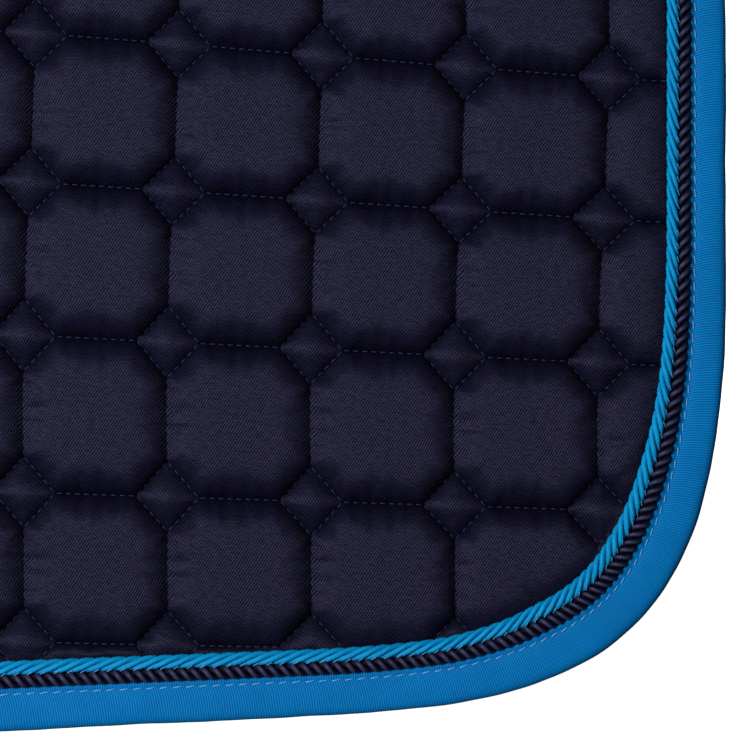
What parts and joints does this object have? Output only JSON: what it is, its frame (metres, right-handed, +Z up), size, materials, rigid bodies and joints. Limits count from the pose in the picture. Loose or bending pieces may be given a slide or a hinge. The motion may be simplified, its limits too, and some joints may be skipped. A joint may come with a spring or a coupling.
{
  "type": "saddle pad",
  "caption": "Quilted saddle pad with padded sides hinged along the spine, corded and bound edges, girth loops and hook-and-loop billet straps.",
  "frame": {"origin": "on the floor, under the middle of the standing pad's bounding box", "axes": "+X towards the horse's rear, the left side at -Y, +Z up; the pad stands astride on its hems"},
  "size_m": [0.6952, 0.381, 0.5089],
  "materials": {
    "face_fabric": "navy cotton twill, quilted",
    "lining": "navy brushed cotton",
    "foam": "open-cell foam",
    "wadding": "polyester wadding",
    "edge_binding": "royal blue ribbed twill tape",
    "spine_tape": "royal blue ribbed twill tape",
    "outer_piping": "satin twisted cord",
    "inner_piping": "azure twisted cord",
    "webbing": "woven nylon webbing",
    "loop_patch": "soft loop tape",
    "hook_patch": "moulded hook tape"
  },
  "bodies": {
    "left_side": {"lining_left": "lining", "foam_left": "foam", "wadding_left": "wadding", "face_fabric_left": "face_fabric", "edge_binding_left": "edge_binding", "outer_piping_left": "outer_piping", "inner_piping_left": "inner_piping", "girth_loop_left": "webbing", "strap_anchor_left": "webbing", "spine_tape_outer": "spine_tape", "spine_tape_inner": "lining"},
    "right_side": {"lining_right": "lining", "foam_right": "foam", "wadding_right": "wadding", "face_fabric_right": "face_fabric", "edge_binding_right": "edge_binding", "outer_piping_right": "outer_piping", "inner_piping_right": "inner_piping", "girth_loop_right": "webbing", "strap_anchor_right": "webbing"},
    "left_strap": {"billet_strap_left": "webbing", "loop_patch_left": "loop_patch"},
    "left_tail": {"strap_tail_left": "webbing", "hook_patch_left": "hook_patch"},
    "right_strap": {"billet_strap_right": "webbing", "loop_patch_right": "loop_patch"},
    "right_tail": {"strap_tail_right": "webbing", "hook_patch_right": "hook_patch"}
  },
  "joints": [
    {"name": "spine_fold", "type": "hinge", "parent": "left_side", "child": "right_side", "pos_m": [0.02664, 0, 0.4759], "axis": [0.9962, 0, -0.0872], "range_deg": [-40, 140], "deforming": ["spine_tape_outer", "spine_tape_inner"]},
    {"name": "left_strap_swing", "type": "hinge", "parent": "left_side", "child": "left_strap", "pos_m": [-0.21476, -0.04809, 0.41311], "axis": [-0.9962, 0, 0.0872], "range_deg": [0, 120]},
    {"name": "left_tail_peel", "type": "hinge", "parent": "left_strap", "child": "left_tail", "pos_m": [-0.22373, -0.08679, 0.31053], "axis": [0.9962, 0, -0.0872], "range_deg": [0, 180]},
    {"name": "right_strap_swing", "type": "hinge", "parent": "right_side", "child": "right_strap", "pos_m": [-0.21476, 0.04809, 0.41311], "axis": [0.9962, 0, -0.0872], "range_deg": [0, 120]},
    {"name": "right_tail_peel", "type": "hinge", "parent": "right_strap", "child": "right_tail", "pos_m": [-0.22373, 0.08679, 0.31053], "axis": [-0.9962, 0, 0.0872], "range_deg": [0, 180]}
  ]
}
